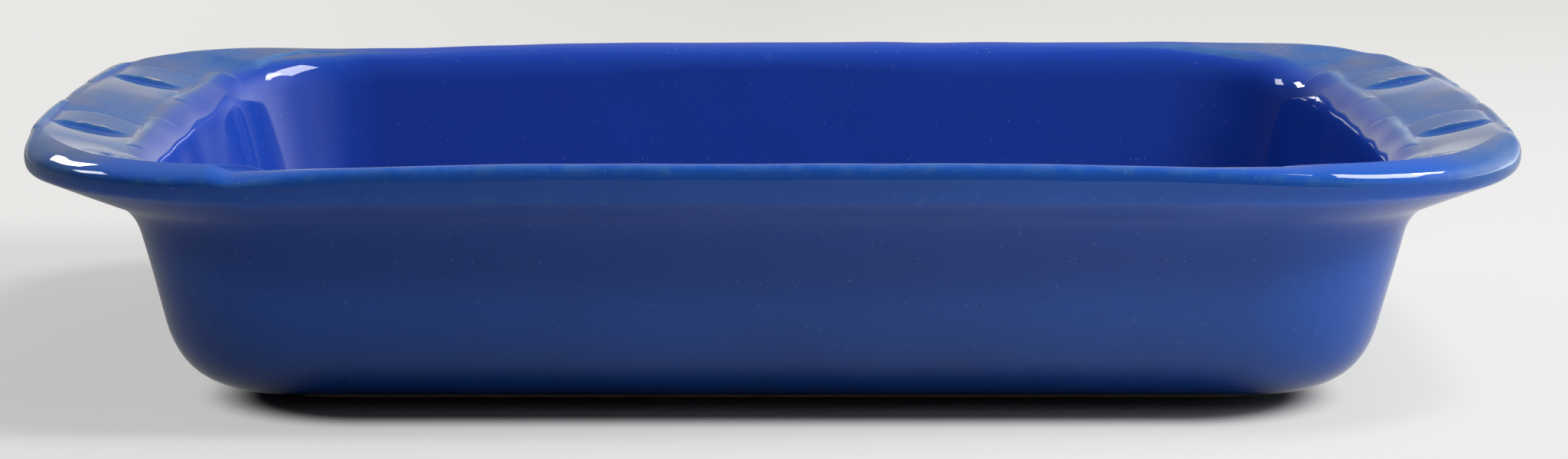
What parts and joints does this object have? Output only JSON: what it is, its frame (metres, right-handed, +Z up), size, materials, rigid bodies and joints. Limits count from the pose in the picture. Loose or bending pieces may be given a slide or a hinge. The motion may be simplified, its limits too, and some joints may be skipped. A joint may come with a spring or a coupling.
{
  "type": "lasagna dish",
  "caption": "Rectangular glazed stoneware baking dish with sloping walls, rolled side rims and two broad end handles with a raised basket weave.",
  "frame": {"origin": "centre of the dish on the plane it stands on", "axes": "+X along the length towards one handle, +Y across the width away from the viewer, +Z up"},
  "size_m": [0.4, 0.25, 0.0684],
  "materials": {
    "blue_glaze": "thick glossy cobalt glaze, darker where it pools, with pale breaks on the sharp edges",
    "relief_glaze": "the same glossy cobalt glaze, thinner on the crests of the weave",
    "bare_stoneware": "unglazed sandy stoneware, wiped clean before firing"
  },
  "bodies": {
    "root": {"basin": "blue_glaze", "foot_ring": "bare_stoneware", "front_rim": "blue_glaze", "back_rim": "blue_glaze", "left_handle": "blue_glaze", "right_handle": "blue_glaze", "left_weave_uprights": "relief_glaze", "left_weave_weavers": "relief_glaze", "right_weave_uprights": "relief_glaze", "right_weave_weavers": "relief_glaze"}
  },
  "joints": []
}
